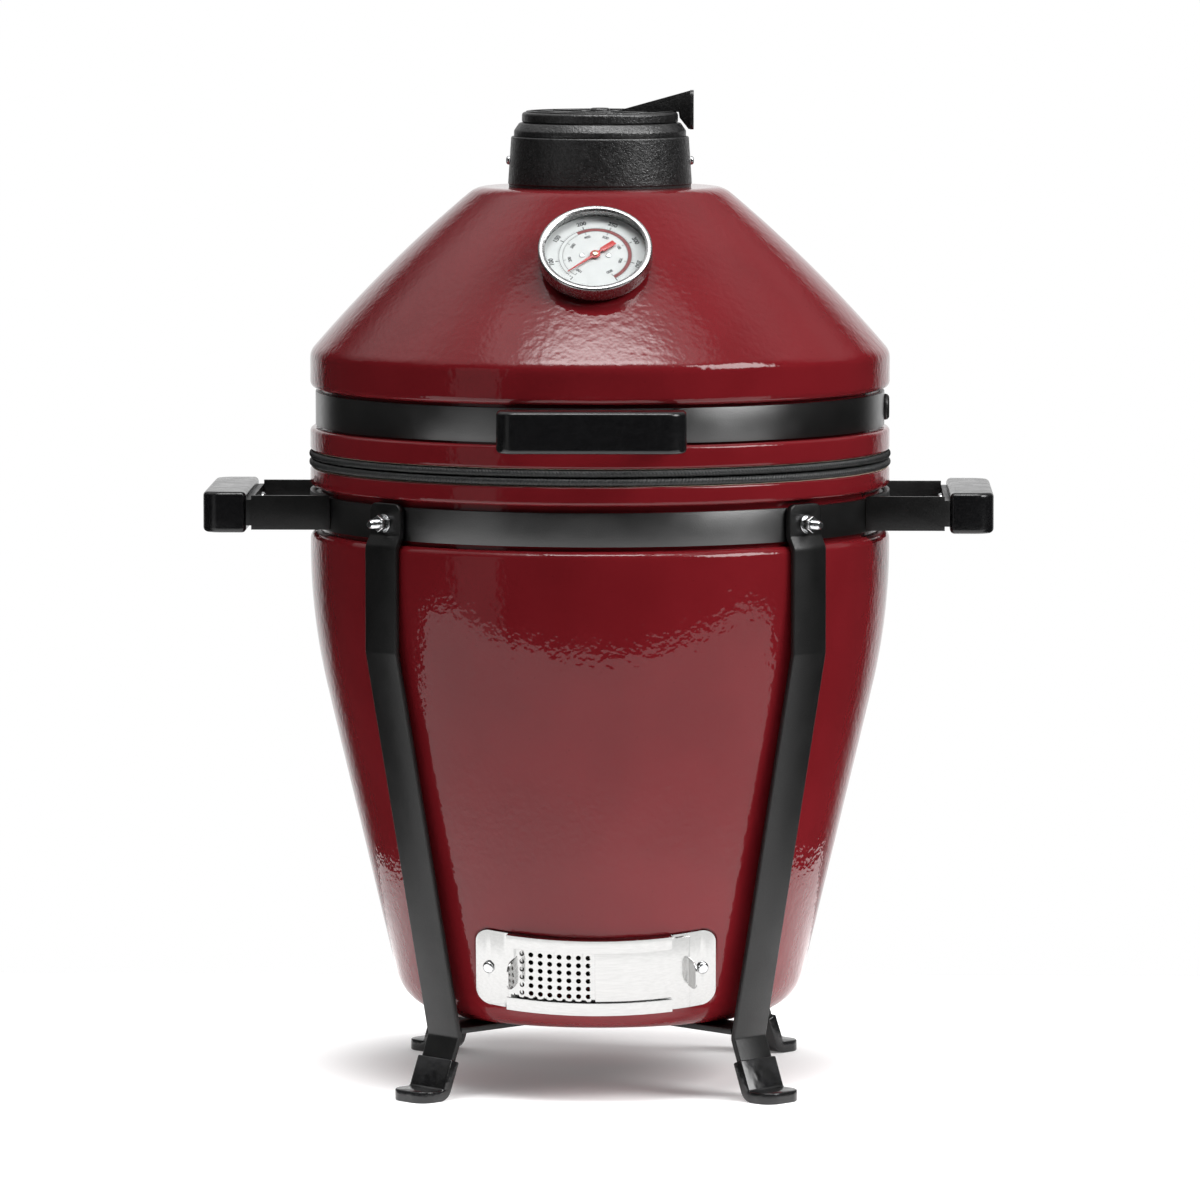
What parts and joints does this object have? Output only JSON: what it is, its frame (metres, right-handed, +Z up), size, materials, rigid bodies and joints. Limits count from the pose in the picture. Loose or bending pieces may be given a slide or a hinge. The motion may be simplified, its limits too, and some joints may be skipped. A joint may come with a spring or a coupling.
{
  "type": "kettle charcoal grill",
  "caption": "Table-top ceramic charcoal grill: glazed bowl and hinged domed lid, strap bands, strip legs, side handles, top vent, draft door and dial thermometer.",
  "frame": {"origin": "on the floor under the middle of the bowl, at the soles of the feet", "axes": "+Z up, -Y to the front (thermometer, lid handle and draft door), +X to the right seen from the front"},
  "size_m": [0.5414, 0.5291, 0.6843],
  "materials": {
    "red_glaze": "glossy",
    "firebrick": "matte",
    "rim_felt": "matte",
    "black_coat": "satin",
    "black_grip": "satin",
    "foot_vinyl": "glossy",
    "zinc": "bright",
    "stainless": "brushed",
    "bezel_steel": "polished",
    "dial_white": "matte",
    "dial_glass": "clear",
    "needle_red": "satin",
    "cast_black": "textured",
    "grate_iron": "rough",
    "grate_steel": "satin",
    "spring_steel": "satin"
  },
  "bodies": {
    "base": {"ceramic_base": "red_glaze", "base_gasket": "rim_felt", "lower_band": "black_coat", "cross_brace": "black_coat", "leg_bolts": "zinc", "leg_nuts": "zinc", "leg_washers": "zinc", "side_bracket_left": "black_coat", "side_bracket_right": "black_coat", "side_grip_left": "black_grip", "side_grip_right": "black_grip", "side_grip_screws": "zinc", "side_bracket_rivets": "black_coat", "hinge_base_leaf": "black_coat", "hinge_pin": "zinc", "hinge_pin_nut": "zinc", "hinge_springs": "spring_steel", "hinge_stop_rod": "zinc", "hinge_base_bolts": "zinc", "fire_box": "firebrick", "fire_ring": "firebrick", "charcoal_grate": "grate_iron", "cooking_grate": "grate_steel", "draft_frame": "stainless", "draft_screen": "stainless", "draft_frame_screws": "zinc", "leg_front_right": "black_coat", "foot_cap_front_right": "foot_vinyl", "leg_front_left": "black_coat", "foot_cap_front_left": "foot_vinyl", "leg_rear_left": "black_coat", "foot_cap_rear_left": "foot_vinyl", "leg_rear_right": "black_coat", "foot_cap_rear_right": "foot_vinyl"},
    "lid": {"ceramic_lid": "red_glaze", "lid_gasket": "rim_felt", "upper_band": "black_coat", "upper_band_bolt": "black_coat", "lid_bracket": "black_coat", "lid_grip": "black_grip", "lid_grip_screws": "zinc", "lid_bracket_rivets": "black_coat", "hinge_lid_leaf": "black_coat", "hinge_lid_bolts": "zinc", "thermometer_case": "bezel_steel", "thermometer_bezel": "bezel_steel", "thermometer_glass": "dial_glass", "thermometer_dial": "dial_white", "thermometer_stem": "bezel_steel", "thermometer_nut": "zinc", "dial_screws": "zinc", "chimney_gasket": "rim_felt", "vent_collar": "cast_black", "collar_screws": "zinc", "vent_plate": "cast_black", "vent_pivot_screw": "cast_black"},
    "vent_rotor": {"vent_disc": "cast_black", "vent_lever": "cast_black"},
    "gauge_needle": {"needle": "needle_red"},
    "door": {"draft_door": "stainless"}
  },
  "joints": [
    {"name": "lid_hinge", "type": "hinge", "parent": "base", "child": "lid", "pos_m": [0, 0.238, 0.4315], "axis": [-1, 0, 0], "range_deg": [0, 75]},
    {"name": "vent_turn", "type": "hinge", "parent": "lid", "child": "vent_rotor", "pos_m": [0, 0, 0.6624], "axis": [0, 0, 1], "range_deg": [0, 45]},
    {"name": "needle_turn", "type": "hinge", "parent": "lid", "child": "gauge_needle", "pos_m": [0, -0.136, 0.5733], "axis": [0, 0.7071, -0.7071], "range_deg": [-10, 270], "stiffness_Nm_per_rad": 0.002},
    {"name": "door_slide", "type": "hinge", "parent": "base", "child": "door", "pos_m": [0, 0.00234, 0.12428], "axis": [0, 0.2311, -0.9729], "range_deg": [0, 20]}
  ]
}
